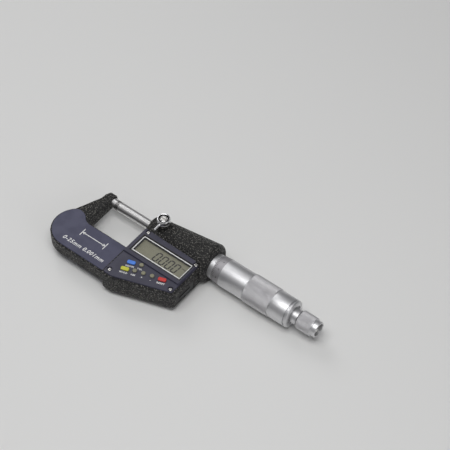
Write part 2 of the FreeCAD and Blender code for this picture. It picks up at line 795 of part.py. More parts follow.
# ---- write the pieces -----------------------------------------------------------------------
pieces = {
    "frame": frame(),
    "anvil": anvil(),
    "anvil_tip": measuring_tip(-tip_length, 0.0, 0.0),
    "bow_plate_front": bow_plate(True),
    "bow_plate_back": bow_plate(False),
    "front_panel": front_panel(),
    "panel_screws": panel_screws(),
    "lcd_window": lcd_window(),
    "lcd_module": lcd_module(),
    "lcd_holder": lcd_holder(),
    "contact_strips": contact_strips(),
    "circuit_board": circuit_board(),
    "board_components": board_components(),
    "button_mat": button_mat(),
    "rear_cover": rear_cover().cut(rear_cover_seal()),
    "rear_cover_seal": rear_cover_seal(),
    "rear_cover_screws": rear_cover_screws(),
    "battery_cap": battery_cap(),
    "battery_seal": battery_seal(),
    "button_cell": button_cell(),
    "battery_contacts": battery_contacts(),
    "data_port_socket": data_port_socket(),
    "data_port_cover": data_port_cover(),
    "spindle_bush": spindle_bush(),
    "lock_shoe": lock_shoe(),
    "stem": stem(),
    "outer_sleeve": outer_sleeve(),
    "adjusting_nut": adjusting_nut(),
    "encoder_stator": encoder_stator(),
    "encoder_ribbon": encoder_ribbon(),
    "rotor_disc": rotor_disc(),
    "rotor_hub": rotor_hub(),
    "rotor_key": rotor_key(),
    "spindle": spindle(),
    "spindle_tip": measuring_tip(0.0, tip_length, 0.0),
    "thimble": thimble(),
    "thimble_cap": thimble_cap(),
    "ratchet_base": ratchet_base(),
    "ratchet_screw": ratchet_screw(),
    "ratchet_disc": ratchet_disc(),
    "ratchet_pawl_ring": ratchet_pawl_ring(),
    "ratchet_spring": ratchet_spring(),
    "ratchet_knob": ratchet_knob(),
    "lock_lever": lock_lever(),
    "lock_rod": lock_rod(),
    "lock_screw": lock_screw(),
}
pieces.update({name: bar_button(place) for name, place in bar_buttons.items()})
pieces.update({name: round_button(place) for name, place in round_buttons.items()})

os.makedirs("parts", exist_ok=True)
for name, shape in pieces.items():
    if not shape.isValid() or not shape.Solids:
        print("NOT VALID", name)
    shape.exportStep("parts/" + name + ".step")
    print(name, len(shape.Solids), "solids, volume", round(shape.Volume, 2))
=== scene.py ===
# %% [markdown]
# # Digital outside micrometer
# A digital micrometer for 0 to 25 mm: a cast C-frame in black crackle paint, a navy plastic housing
# with a display and seven buttons, a polished spindle, a satin-chrome thimble and a ratchet stop.
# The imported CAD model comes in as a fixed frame. This lesson gives every part of it a finish, and
# adds what a flat CAD solid can't show: knurling, graduations, printing and the display's digits.

# %% The frame
import bpy
import math
import json
from mathutils import Matrix, Vector


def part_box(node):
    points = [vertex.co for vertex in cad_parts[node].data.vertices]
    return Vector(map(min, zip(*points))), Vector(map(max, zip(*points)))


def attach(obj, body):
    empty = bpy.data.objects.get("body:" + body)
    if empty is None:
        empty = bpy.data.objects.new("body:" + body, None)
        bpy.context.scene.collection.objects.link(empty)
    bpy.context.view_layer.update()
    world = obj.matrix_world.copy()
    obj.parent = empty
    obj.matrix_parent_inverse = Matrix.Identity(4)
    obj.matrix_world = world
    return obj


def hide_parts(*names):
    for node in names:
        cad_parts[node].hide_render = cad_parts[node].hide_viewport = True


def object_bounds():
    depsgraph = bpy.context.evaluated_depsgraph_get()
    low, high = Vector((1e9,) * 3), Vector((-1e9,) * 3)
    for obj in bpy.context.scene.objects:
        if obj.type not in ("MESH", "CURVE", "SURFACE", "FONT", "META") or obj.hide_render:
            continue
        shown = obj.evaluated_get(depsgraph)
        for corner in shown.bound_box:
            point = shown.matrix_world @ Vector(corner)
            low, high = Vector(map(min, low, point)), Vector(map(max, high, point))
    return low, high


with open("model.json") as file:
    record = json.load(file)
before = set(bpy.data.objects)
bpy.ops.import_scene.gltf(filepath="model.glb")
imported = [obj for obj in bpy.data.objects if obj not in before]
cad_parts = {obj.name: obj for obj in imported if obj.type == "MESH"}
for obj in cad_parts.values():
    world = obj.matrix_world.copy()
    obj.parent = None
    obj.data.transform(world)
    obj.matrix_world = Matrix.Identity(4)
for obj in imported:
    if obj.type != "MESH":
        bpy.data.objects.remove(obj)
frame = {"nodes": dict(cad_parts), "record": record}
cad_low, cad_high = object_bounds()
MM = 0.001
print(len(frame["nodes"]), "CAD nodes,", "length", round((cad_high.x - cad_low.x) / MM, 1), "mm")

# %% [markdown]
# ## The view
# A camera in Blender looks along its own -Z. Its turn is built here from three plain angles: how far
# it has walked round the object, how high it looks down from, and a very small lean. A long lens
# from almost a metre away keeps the micrometer's parallel lines nearly parallel.

# %% Camera
view_azimuth = math.radians(38.308)
view_elevation = math.radians(50.694)
view_lean = math.radians(0.18)
camera_place = Vector((450.35, -463.03, 765.67)) * MM
lens_mm = 127.79

to_camera = Vector((
    math.sin(view_azimuth) * math.cos(view_elevation),
    -math.cos(view_azimuth) * math.cos(view_elevation),
    math.sin(view_elevation),
))
camera_data = bpy.data.cameras.new("camera")
camera_data.lens = lens_mm
camera_data.sensor_width = 36.0
camera_data.clip_start = 0.05
camera_data.clip_end = 20.0
camera = bpy.data.objects.new("camera", camera_data)
bpy.context.scene.collection.objects.link(camera)
camera.rotation_mode = "QUATERNION"
upright = to_camera.to_track_quat("Z", "Y")
camera.rotation_quaternion = upright @ Matrix.Rotation(-view_lean, 3, "Z").to_quaternion()
camera.location = camera_place
bpy.context.scene.camera = camera
print("camera is", round(camera_place.length, 3), "m from the anvil's face")

# %% [markdown]
# ## Floor and light
# Polished and satin steel show whatever is around them, so a large soft box overhead does most of the
# work: it draws one broad bright band along every round part. A weaker box from the left and a pale
# sky fill the rest, and the micrometer lies on its back on a plain pale floor.

# %% Floor
floor_half = 1.5
bpy.ops.object.select_all(action="DESELECT")
bpy.ops.mesh.primitive_plane_add(size=2 * floor_half, location=(0.05, 0.0, cad_low.z - 0.02 * MM))
floor = bpy.context.object
floor.name = "floor"
floor_paint = bpy.data.materials.new("floor_paint")
floor_paint.use_nodes = True
floor_shader = floor_paint.node_tree.nodes["Principled BSDF"]
floor_shader.inputs["Base Color"].default_value = (0.72, 0.72, 0.71, 1)
floor_shader.inputs["Roughness"].default_value = 0.7
floor.data.materials.append(floor_paint)

# %% Soft boxes and sky
object_middle = (cad_low + cad_high) / 2


def soft_box(name, direction, distance, width, height, power, colour=(1, 1, 1)):
    """Rectangular lamp that looks at the object's middle."""
    lamp_data = bpy.data.lights.new(name, "AREA")
    lamp_data.shape = "RECTANGLE"
    lamp_data.size = width
    lamp_data.size_y = height
    lamp_data.energy = power
    lamp_data.color = colour
    lamp = bpy.data.objects.new(name, lamp_data)
    bpy.context.scene.collection.objects.link(lamp)
    away = Vector(direction).normalized()
    lamp.location = object_middle + away * distance
    lamp.rotation_mode = "QUATERNION"
    lamp.rotation_quaternion = away.to_track_quat("Z", "Y")
    return lamp


soft_box("overhead_box", (0.05, -0.22, 1.0), 0.9, 0.75, 0.42, 4.6)
soft_box("left_box", (-1.0, 0.5, 0.9), 1.0, 0.5, 0.5, 1.8)
soft_box("right_box", (1.0, -0.2, 0.5), 1.1, 0.4, 0.5, 1.2)

sky = bpy.data.worlds.new("studio")
bpy.context.scene.world = sky
sky.use_nodes = True
sky_nodes = sky.node_tree.nodes
sky_links = sky.node_tree.links
sky_place = sky_nodes.new("ShaderNodeTexCoord")
sky_split = sky_nodes.new("ShaderNodeSeparateXYZ")
sky_ramp = sky_nodes.new("ShaderNodeValToRGB")
sky_ramp.color_ramp.elements[0].position = 0.45
sky_ramp.color_ramp.elements[0].color = (0.42, 0.42, 0.44, 1)
sky_ramp.color_ramp.elements[1].position = 0.95
sky_ramp.color_ramp.elements[1].color = (0.95, 0.95, 0.97, 1)
sky_links.new(sky_place.outputs["Generated"], sky_split.inputs[0])
sky_links.new(sky_split.outputs["Z"], sky_ramp.inputs["Fac"])
sky_links.new(sky_ramp.outputs["Color"], sky_nodes["Background"].inputs["Color"])
sky_nodes["Background"].inputs["Strength"].default_value = 0.34
bpy.context.scene.view_settings.view_transform = "Standard"
print("three soft boxes and a sky")

# %% [markdown]
# ## Node helpers
# A material is a small graph. These helpers keep the graphs short: one adds a node and plugs in its
# inputs, whether they are plain values or another node's output, and one starts a material. All
# patterns read Object coordinates multiplied up to millimetres, so that a noise scale of 2 makes
# grains of about half a millimetre on every part.

# %% Helpers for graphs
def plug(tree, socket, value):
    if isinstance(value, bpy.types.NodeSocket):
        tree.links.new(value, socket)
    else:
        socket.default_value = value


def add_node(tree, kind, settings=None, **inputs):
    """New node. Settings are its own properties; inputs go by socket name, or as in0, in1 by place."""
    node = tree.nodes.new("ShaderNode" + kind)
    for key, value in (settings or {}).items():
        setattr(node, key, value)
    for key, value in inputs.items():
        if key.startswith("in") and key[2:].isdigit():
            socket = node.inputs[int(key[2:])]
        else:
            socket = node.inputs[key.replace("_", " ")]
        plug(tree, socket, value)
    return node


def maths(tree, operation, *values):
    node = add_node(tree, "Math", {"operation": operation})
    for socket, value in zip(node.inputs, values):
        plug(tree, socket, value)
    return node.outputs[0]


def fade(tree, value, low, high, out_low=0.0, out_high=1.0):
    """Smooth step of a value from low to high."""
    node = add_node(tree, "MapRange", {"interpolation_type": "SMOOTHSTEP"})
    for socket, number in zip(node.inputs, (value, low, high, out_low, out_high)):
        plug(tree, socket, number)
    return node.outputs["Result"]


def mix_colours(tree, factor, a, b):
    node = add_node(tree, "Mix", {"data_type": "RGBA"})
    plug(tree, node.inputs["Factor"], factor)
    plug(tree, node.inputs["A"], a)
    plug(tree, node.inputs["B"], b)
    return node.outputs["Result"]


def grey(level):
    return (level, level, level, 1.0)


def millimetres(tree):
    place = add_node(tree, "TexCoord")
    scaled = add_node(tree, "VectorMath", {"operation": "SCALE"}, in0=place.outputs["Object"])
    scaled.inputs["Scale"].default_value = 1 / MM
    return scaled.outputs[0]


def new_material(name, **values):
    """Material with a Principled shader, whose plain values are given by socket name."""
    material = bpy.data.materials.new(name)
    material.use_nodes = True
    tree = material.node_tree
    shader = tree.nodes["Principled BSDF"]
    for key, value in values.items():
        shader.inputs[key.replace("_", " ")].default_value = value
    return material, tree, shader


# %% [markdown]
# ## Shared effects as node groups
# Edge wear, fine grain and turning marks are on many parts. Each is built once as a node group with
# named inputs, like a custom node, and every material sets its own amounts. The groups give out
# masks, values and normals only, so that the shader itself stays in each material.

# %% Group: edge wear
def new_group(name, inputs, outputs):
    """Empty group. Inputs are (name, kind, start value); outputs are (name, kind)."""
    group = bpy.data.node_groups.new(name, "ShaderNodeTree")
    for label, kind, start in inputs:
        socket = group.interface.new_socket(label, in_out="INPUT", socket_type="NodeSocket" + kind)
        if start is not None:
            socket.default_value = start
    for label, kind in outputs:
        group.interface.new_socket(label, in_out="OUTPUT", socket_type="NodeSocket" + kind)
    return group, group.nodes.new("NodeGroupInput"), group.nodes.new("NodeGroupOutput")


def build_edge_wear():
    """Mask that is 1 along outer edges and 0 on flats, broken up by noise."""
    group, given, result = new_group(
        "edge_wear",
        [("Place", "Vector", None), ("Radius", "Float", 0.3 * MM), ("Grain", "Float", 1.5),
         ("Cover", "Float", 0.5)],
        [("Mask", "Float")],
    )
    rounded = add_node(group, "Bevel", {"samples": 6}, Radius=given.outputs["Radius"])
    flat = add_node(group, "NewGeometry")
    dot = add_node(group, "VectorMath", {"operation": "DOT_PRODUCT"},
                   in0=rounded.outputs[0], in1=flat.outputs["True Normal"])
    edge = fade(group, dot.outputs["Value"], 0.995, 0.86)
    noise = add_node(group, "TexNoise", Vector=given.outputs["Place"], Scale=given.outputs["Grain"],
                     Detail=5.0, Roughness=0.65)
    patch = maths(group, "ADD", noise.outputs["Fac"], maths(group, "SUBTRACT", given.outputs["Cover"], 1.0))
    broken = fade(group, patch, -0.06, 0.06)
    group.links.new(maths(group, "MULTIPLY", edge, broken), result.inputs["Mask"])
    return group


edge_wear = build_edge_wear()


def wear_mask(tree, place, radius=0.3 * MM, grain=1.5, cover=0.5):
    node = add_node(tree, "Group", {"node_tree": edge_wear}, Place=place, Radius=radius, Grain=grain,
                    Cover=cover)
    return node.outputs["Mask"]


# %% Group: fine grain
def build_fine_grain():
    """Two sizes of noise: a height for bump, and a slow mottle for colour and roughness."""
    group, given, result = new_group(
        "fine_grain",
        [("Place", "Vector", None), ("Grain", "Float", 4.0), ("Mottle", "Float", 0.15)],
        [("Height", "Float"), ("Mottle", "Float")],
    )
    fine = add_node(group, "TexNoise", Vector=given.outputs["Place"], Scale=given.outputs["Grain"],
                    Detail=3.0, Roughness=0.6)
    slow = add_node(group, "TexNoise", Vector=given.outputs["Place"], Scale=given.outputs["Mottle"],
                    Detail=4.0, Roughness=0.6)
    group.links.new(fine.outputs["Fac"], result.inputs["Height"])
    group.links.new(fade(group, slow.outputs["Fac"], 0.35, 0.65), result.inputs["Mottle"])
    return group


fine_grain = build_fine_grain()


def grain(tree, place, size=4.0, mottle=0.15):
    node = add_node(tree, "Group", {"node_tree": fine_grain}, Place=place, Grain=size, Mottle=mottle)
    return node.outputs["Height"], node.outputs["Mottle"]


def bump(tree, height, distance_mm):
    node = add_node(tree, "Bump", Height=height, Strength=1.0, Distance=distance_mm * MM)
    return node.outputs["Normal"]


# %% Group: turning marks
def build_turning_marks():
    """Rings round the spindle axis: noise that runs along X only, with slight wander."""
    group, given, result = new_group(
        "turning_marks",
        [("Place", "Vector", None), ("Lines", "Float", 8.0)],
        [("Height", "Float")],
    )
    stretched = add_node(group, "VectorMath", {"operation": "MULTIPLY"},
                         in0=given.outputs["Place"], in1=(1.0, 0.03, 0.03))
    rings = add_node(group, "TexNoise", Vector=stretched.outputs[0], Scale=given.outputs["Lines"],
                     Detail=3.0, Roughness=0.7)
    group.links.new(rings.outputs["Fac"], result.inputs["Height"])
    return group


turning_marks = build_turning_marks()


def rings(tree, place, lines=8.0):
    node = add_node(tree, "Group", {"node_tree": turning_marks}, Place=place, Lines=lines)
    return node.outputs["Height"]


print("node groups:", edge_wear.name, fine_grain.name, turning_marks.name)

# %% [markdown]
# ## Crackle paint
# The cast frame has a thick black paint that shrinks as it dries into a skin of small shiny beads
# with fine dull valleys. A Voronoi pattern gives the beads, a second smaller one breaks them up, and
# the height feeds a Bump node. Bead tops catch the light, so many of them are also made paler.

# %% Paint on the frame
def crackle_paint():
    material, tree, shader = new_material("crackle_paint", Specular_IOR_Level=0.5)
    place = millimetres(tree)
    wander = add_node(tree, "TexNoise", Vector=place, Scale=0.6, Detail=2.0)
    warped = add_node(tree, "VectorMath", {"operation": "MULTIPLY_ADD"},
                      in0=wander.outputs["Color"], in1=(1.1, 1.1, 1.1), in2=place)
    beads = add_node(tree, "TexVoronoi", {"feature": "SMOOTH_F1"}, Vector=warped.outputs[0],
                     Scale=1.05, Smoothness=0.3)
    small = add_node(tree, "TexNoise", Vector=place, Scale=2.4, Detail=4.0, Roughness=0.7)
    bead_top = fade(tree, beads.outputs["Distance"], 0.7, 0.1)
    height = maths(tree, "ADD", bead_top, maths(tree, "MULTIPLY", small.outputs["Fac"], 0.8))
    lucky = add_node(tree, "TexNoise", Vector=place, Scale=0.8, Detail=2.0)
    pale = maths(tree, "MULTIPLY", fade(tree, bead_top, 0.4, 0.85),
                 fade(tree, lucky.outputs["Fac"], 0.30, 0.62))
    colour = mix_colours(tree, pale, (0.0045, 0.0043, 0.0042, 1), (0.185, 0.178, 0.160, 1))
    worn = wear_mask(tree, place, radius=0.35 * MM, grain=1.1, cover=0.38)
    colour = mix_colours(tree, maths(tree, "MULTIPLY", worn, 0.3), colour, (0.12, 0.115, 0.105, 1))
    plug(tree, shader.inputs["Base Color"], colour)
    plug(tree, shader.inputs["Roughness"], fade(tree, bead_top, 0.1, 0.8, 0.6, 0.3))
    plug(tree, shader.inputs["Normal"], bump(tree, height, 0.38))
    return material


# %% [markdown]
# ## Plastics and printing
# The housing's front panel and the bow's insulating plates are navy plastic with a satin spark
# texture: a very fine grain in the bump and a faint mottle in the roughness. The raised edges are
# rubbed slightly paler by handling. Button caps are smoother and softer.

# %% Plastics
def plastic(name, colour, rubbed, roughness=0.42, grain_size=5.0, relief=0.012, cover=0.42):
    material, tree, shader = new_material(name, Specular_IOR_Level=0.5)
    place = millimetres(tree)
    height, mottle = grain(tree, place, grain_size, 0.12)
    darker = tuple(c * 0.86 for c in colour[:3]) + (1,)
    mottled = mix_colours(tree, mottle, colour, darker)
    worn = wear_mask(tree, place, radius=0.25 * MM, grain=1.3, cover=cover)
    plug(tree, shader.inputs["Base Color"], mix_colours(tree, worn, mottled, rubbed))
    plug(tree, shader.inputs["Roughness"],
         fade(tree, mottle, 0.0, 1.0, roughness, roughness + 0.09))
    plug(tree, shader.inputs["Normal"], bump(tree, height, relief))
    return material


navy = (0.053, 0.054, 0.100, 1)
black_ink = (0.008, 0.008, 0.009, 1)


def panel_plastic():
    """The panel's darker navy, with a black border printed round the window."""
    base = (0.040, 0.039, 0.064, 1)
    material = plastic("panel_plastic", base, (0.11, 0.11, 0.155, 1))
    tree = material.node_tree
    shader = tree.nodes["Principled BSDF"]
    split = add_node(tree, "SeparateXYZ", in0=millimetres(tree))
    low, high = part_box("lcd_window")
    reach = []
    for number, axis in enumerate("XY"):
        middle = (low[number] + high[number]) / 2 / MM
        half = (high[number] - low[number]) / 2 / MM
        away = maths(tree, "ABSOLUTE", maths(tree, "SUBTRACT", split.outputs[axis], middle))
        reach.append(maths(tree, "SUBTRACT", away, half))
    border = fade(tree, maths(tree, "MAXIMUM", *reach), 0.62, 0.5)
    moulded = shader.inputs["Base Color"].links[0].from_socket
    plug(tree, shader.inputs["Base Color"], mix_colours(tree, border, moulded, black_ink))
    return material


finishes = {
    "crackle_paint": crackle_paint(),
    "navy_plastic": plastic("navy_plastic", navy, (0.13, 0.13, 0.19, 1)),
    "black_plastic": plastic("black_plastic", (0.012, 0.012, 0.013, 1), (0.05, 0.05, 0.052, 1), 0.38),
    "blue_button": plastic("blue_button", (0.075, 0.235, 0.78, 1), (0.16, 0.34, 0.85, 1), 0.4, 6.0),
    "yellow_button": plastic("yellow_button", (0.60, 0.60, 0.055, 1), (0.70, 0.70, 0.15, 1), 0.4, 6.0),
    "red_button": plastic("red_button", (0.55, 0.035, 0.030, 1), (0.65, 0.10, 0.08, 1), 0.4, 6.0),
    "grey_button": plastic("grey_button", (0.235, 0.225, 0.155, 1), (0.33, 0.32, 0.24, 1), 0.45, 6.0),
    "rubber": plastic("rubber", (0.016, 0.016, 0.017, 1), (0.03, 0.03, 0.03, 1), 0.65, 3.0),
}
print("painted and moulded finishes:", ", ".join(finishes))

# %% [markdown]
# ## Metals
# Three steels show: satin chrome on sleeve, thimble and ratchet, a ground and polished spindle, and
# bright chrome on the lock. All are metallic with faint turning marks round the axis in the bump and
# a slow mottle in the roughness, as handled metal has.

# %% Metals
def metal(name, colour, roughness, lines=8.0, relief=0.0008, mottle_size=0.2, dull=0.03):
    material, tree, shader = new_material(name, Metallic=1.0)
    place = millimetres(tree)
    marks = rings(tree, place, lines)
    height, mottle = grain(tree, place, 7.0, mottle_size)
    tarnished = tuple(c * 0.95 for c in colour[:3]) + (1,)
    plug(tree, shader.inputs["Base Color"], mix_colours(tree, mottle, colour, tarnished))
    plug(tree, shader.inputs["Roughness"], fade(tree, mottle, 0.0, 1.0, roughness, roughness + dull))
    both = maths(tree, "ADD", marks, maths(tree, "MULTIPLY", height, 0.35))
    plug(tree, shader.inputs["Normal"], bump(tree, both, relief))
    return material


satin_colour = (0.70, 0.70, 0.71, 1)
satin_roughness = 0.45
finishes["chrome"] = metal("satin_chrome", satin_colour, satin_roughness)
finishes["ground_steel"] = metal("ground_steel", (0.78, 0.775, 0.77, 1), 0.30, 3.0, 0.00002)
finishes["carbide"] = metal("carbide", (0.36, 0.355, 0.35, 1), 0.26, 10.0, 0.0006)
finishes["screw_steel"] = metal("screw_steel", (0.62, 0.61, 0.59, 1), 0.22, 5.0, 0.001)
finishes["brass"] = metal("brass", (0.74, 0.52, 0.22, 1), 0.28, 6.0, 0.001)
finishes["cell_steel"] = metal("cell_steel", (0.68, 0.68, 0.67, 1), 0.25, 3.0, 0.001)
print("metals:", [f.name for f in finishes.values() if f.name.endswith(("steel", "chrome", "brass"))])

# %% [markdown]
# ## Display, board and what is inside
# The window is a thin clear plate. Its shader is made mostly see-through with Alpha, which lets lamps
# light what is under it without noise. The display glass is a dull green-grey with a very fine
# vertical grain of its electrodes. The circuit board and its parts hide inside, and have plain but
# true finishes: solder-mask green with copper tracks in it.

# %% Clear and inner finishes
def window_clear():
    material, tree, shader = new_material(
        "window_clear", Base_Color=grey(0.9), Roughness=0.2, Specular_IOR_Level=0.35)
    place = millimetres(tree)
    dust = add_node(tree, "TexNoise", Vector=place, Scale=2.5, Detail=6.0, Roughness=0.7)
    specks = fade(tree, dust.outputs["Fac"], 0.62, 0.78)
    plug(tree, shader.inputs["Alpha"], fade(tree, specks, 0.0, 1.0, 0.024, 0.03))
    return material


def display_glass():
    material, tree, shader = new_material("display_glass", Specular_IOR_Level=0.35)
    place = millimetres(tree)
    height, mottle = grain(tree, place, 9.0, 0.08)
    colour = mix_colours(tree, mottle, (0.200, 0.194, 0.132, 1), (0.178, 0.172, 0.116, 1))
    plug(tree, shader.inputs["Base Color"], colour)
    plug(tree, shader.inputs["Roughness"], fade(tree, height, 0.3, 0.7, 0.35, 0.45))
    return material


def board_green():
    material, tree, shader = new_material("board", Roughness=0.35, Coat_Weight=0.3)
    place = millimetres(tree)
    tracks = add_node(tree, "TexBrick", Vector=place, Scale=0.45, Mortar_Size=0.06,
                      Color1=(0.010, 0.085, 0.030, 1), Color2=(0.012, 0.100, 0.036, 1),
                      Mortar=(0.03, 0.17, 0.06, 1))
    plug(tree, shader.inputs["Base Color"], tracks.outputs["Color"])
    plug(tree, shader.inputs["Normal"], bump(tree, tracks.outputs["Fac"], 0.02))
    return material


def ribbon_film():
    material, tree, shader = new_material("ribbon", Roughness=0.3)
    place = millimetres(tree)
    split = add_node(tree, "SeparateXYZ", in0=place)
    strand = maths(tree, "FRACT", maths(tree, "MULTIPLY", split.outputs["Y"], 1.6))
    lines = fade(tree, strand, 0.45, 0.55)
    plug(tree, shader.inputs["Base Color"],
         mix_colours(tree, lines, (0.36, 0.15, 0.03, 1), (0.55, 0.28, 0.08, 1)))
    return material


finishes["window_clear"] = window_clear()
finishes["display_glass"] = display_glass()
finishes["board"] = board_green()
finishes["board_parts"] = plastic("board_parts", (0.02, 0.02, 0.022, 1), (0.06, 0.06, 0.06, 1), 0.5)
finishes["ribbon"] = ribbon_film()
print("clear and inner finishes:", finishes["window_clear"].name, finishes["board"].name)

# %% [markdown]
# ## Knurled steel and ink
# The knurl's pyramids are real, so its steel only needs to be duller than the turned parts: hundreds of
# tiny facets send the light everywhere. The thimble's bevel is matt, so it is a mask along the axis in
# the thimble's own material. Ink is a thin, slightly rough layer. White screen print lets
# a little of what is under it through, so its tone wanders, and the display's segments are a dark
# grey, never quite black.

# %% Knurl and ink
def ink(name, colour, other, roughness=0.5):
    material, tree, shader = new_material(name, Specular_IOR_Level=0.35)
    place = millimetres(tree)
    height, mottle = grain(tree, place, 6.0, 0.9)
    plug(tree, shader.inputs["Base Color"], mix_colours(tree, mottle, colour, other))
    plug(tree, shader.inputs["Roughness"], fade(tree, height, 0.3, 0.7, roughness, roughness + 0.12))
    plug(tree, shader.inputs["Normal"], bump(tree, height, 0.003))
    return material


def thimble_metal(bevel_end):
    """Satin chrome whose bevel, which carries the scale, is blasted matt so that its lines read well."""
    material = metal("thimble_chrome", satin_colour, satin_roughness)
    tree = material.node_tree
    shader = tree.nodes["Principled BSDF"]
    split = add_node(tree, "SeparateXYZ", in0=millimetres(tree))
    bevel = fade(tree, split.outputs["X"], bevel_end + 0.05, bevel_end - 0.05)
    for socket_name, matt in (("Base Color", (0.44, 0.43, 0.445, 1)), ("Roughness", grey(0.6))):
        socket = shader.inputs[socket_name]
        satin = socket.links[0].from_socket
        plug(tree, socket, mix_colours(tree, bevel, satin, matt))
    return material


bevel_length = 5.9
finishes["thimble"] = thimble_metal(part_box("thimble")[0].x / MM + bevel_length)
finishes["knurl"] = metal("knurled_chrome", (0.68, 0.675, 0.685, 1), 0.5, 9.0, 0.0008)
finishes["print_white"] = ink("white_print", (0.80, 0.80, 0.79, 1), (0.68, 0.68, 0.68, 1))
finishes["print_black"] = ink("black_print", (0.02, 0.02, 0.02, 1), (0.05, 0.05, 0.05, 1))
finishes["display_ink"] = ink("display_segments", (0.012, 0.011, 0.010, 1),
                              (0.020, 0.018, 0.017, 1), 0.6)
print("ink and knurl finishes are ready")

# %% [markdown]
# ## Finishes for each node
# The record says which slot each CAD node takes its finish from. The front panel is navy as the bow
# plates are, but a shade darker and with print round its window, so it gets a material of its own.

# %% Every CAD node gets the finish of its slot
slot_of_node = {part["node"]: part["material_slot"] for part in frame["record"]["subparts"]}
for node_name, node_object in frame["nodes"].items():
    node_object.data.materials.clear()
    node_object.data.materials.append(finishes[slot_of_node[node_name]])
frame["nodes"]["front_panel"].data.materials[0] = panel_plastic()
print(len(slot_of_node), "nodes have a finish")

# %% [markdown]
# ## Tools for new pieces
# Each new piece is modelled as by hand: a primitive, a few edit-mode operators, and its place left in
# its mesh. Operators act on whatever is selected, so one helper empties the selection before a new
# primitive, and another picks vertices, edges or faces of a piece by a test of each one.

# %% Helpers for modelling
SELECT_KIND = {"vertices": "VERT", "edges": "EDGE", "polygons": "FACE"}


def to_edit():
    bpy.ops.object.mode_set(mode="EDIT")


def to_object():
    bpy.ops.object.mode_set(mode="OBJECT")


def fresh(name, add, **settings):
    """A primitive with its place and turn already in its mesh."""
    bpy.ops.object.select_all(action="DESELECT")
    add(**settings)
    piece = bpy.context.object
    piece.name = name
    bpy.ops.object.transform_apply(location=True, rotation=True, scale=True)
    return piece


def pick(piece, kind, test):
    """Goes to edit mode with only the elements that pass the test selected."""
    to_edit()
    bpy.ops.mesh.select_mode(type=SELECT_KIND[kind])
    bpy.ops.mesh.select_all(action="DESELECT")
    to_object()
    for element in getattr(piece.data, kind):
        element.select = test(element)
    to_edit()


def close_up(piece, smooth_angle=30):
    """Merges doubles, turns faces outwards and smooths all but sharp edges."""
    to_edit()
    bpy.ops.mesh.select_all(action="SELECT")
    bpy.ops.mesh.remove_doubles(threshold=0.001 * MM)
    bpy.ops.mesh.normals_make_consistent(inside=False)
    to_object()
    bpy.ops.object.shade_smooth_by_angle(angle=math.radians(smooth_angle))


def placed_copy(piece, name, matrix):
    """Copy with its own mesh, moved within that mesh."""
    twin = piece.copy()
    twin.data = piece.data.copy()
    twin.data.transform(matrix)
    twin.name = name
    bpy.context.scene.collection.objects.link(twin)
    return twin


def join(name, parts):
    bpy.ops.object.select_all(action="DESELECT")
    for part in parts:
        part.select_set(True)
    bpy.context.view_layer.objects.active = parts[0]
    bpy.ops.object.join()
    parts[0].name = name
    return parts[0]


def finish_with(piece, material, body):
    piece.data.materials.clear()
    piece.data.materials.append(material)
    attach(piece, body)
    print(piece.name, "has", len(piece.data.polygons), "faces and rides on", body)


# %% [markdown]
# ## Turned shells
# The thimble and the ratchet knob are turned on a lathe, so they are modelled like that: a single
# vertex is extruded along half of the section, and Spin carries it once round the spindle axis. The
# CAD solids give the sizes. Under the knurling the shell is a little smaller, because the knurled
# band is a piece of its own.

# %% Lathe
AROUND_X = (1, 0, 0)


def turned(name, profile, steps=128):
    """Closed shell from (x, r) points in millimetres, spun about the spindle axis."""
    piece = fresh(name, bpy.ops.mesh.primitive_plane_add, size=MM)
    to_edit()
    bpy.ops.mesh.merge(type="CENTER")
    here = Vector((profile[0][0], 0, profile[0][1])) * MM
    bpy.ops.transform.translate(value=here)
    for x, r in profile[1:] + profile[:1]:
        there = Vector((x, 0, r)) * MM
        bpy.ops.mesh.extrude_vertices_move(TRANSFORM_OT_translate={"value": there - here})
        here = there
    bpy.ops.mesh.select_all(action="SELECT")
    bpy.ops.mesh.spin(steps=steps, angle=math.tau, center=(0, 0, 0), axis=AROUND_X)
    to_object()
    close_up(piece)
    return piece


thimble_low, thimble_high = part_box("thimble")
thimble_x0 = thimble_low.x / MM
thimble_x1 = thimble_high.x / MM
knurl_r = thimble_high.z / MM
body_r = knurl_r - 0.4
bore_r = body_r - 0.7
bevel_x = thimble_x0 + bevel_length
knurl_x0 = thimble_x0 + 24.3
knurl_x1 = thimble_x1 - 11.5
under_r = body_r - 0.1

thimble_shell = turned("thimble_shell", [
    (thimble_x0, bore_r), (thimble_x0, bore_r + 0.13), (thimble_x0 + 0.04, bore_r + 0.16),
    (bevel_x - 0.03, body_r - 0.01), (bevel_x + 0.03, body_r),
    (knurl_x0 - 0.55, body_r), (knurl_x0 - 0.47, body_r - 0.05), (knurl_x0 - 0.45, body_r - 0.3),
    (knurl_x0 - 0.08, body_r - 0.3), (knurl_x0 - 0.02, under_r),
    (knurl_x1 + 0.05, under_r), (knurl_x1 + 0.1, body_r - 0.02), (knurl_x1 + 0.15, body_r),
    (thimble_x1 - 0.25, body_r), (thimble_x1 - 0.07, body_r - 0.07), (thimble_x1, body_r - 0.25),
    (thimble_x1, bore_r),
])
finish_with(thimble_shell, finishes["thimble"], "spindle_body")

# %% [markdown]
# ## Knurling
# A knurl is a field of small pyramids that a pair of toothed wheels presses into the metal. Here it is
# an open cylinder whose lengthwise edges are subdivided, so that its vertices form a grid. Every
# second vertex, as on a chessboard, is scaled in towards the axis. Each quad is then split along its
# valley, which leaves four-sided pyramids with crossing V-grooves between them.

# %% Knurled bands
END_CHAMFER = 0.12


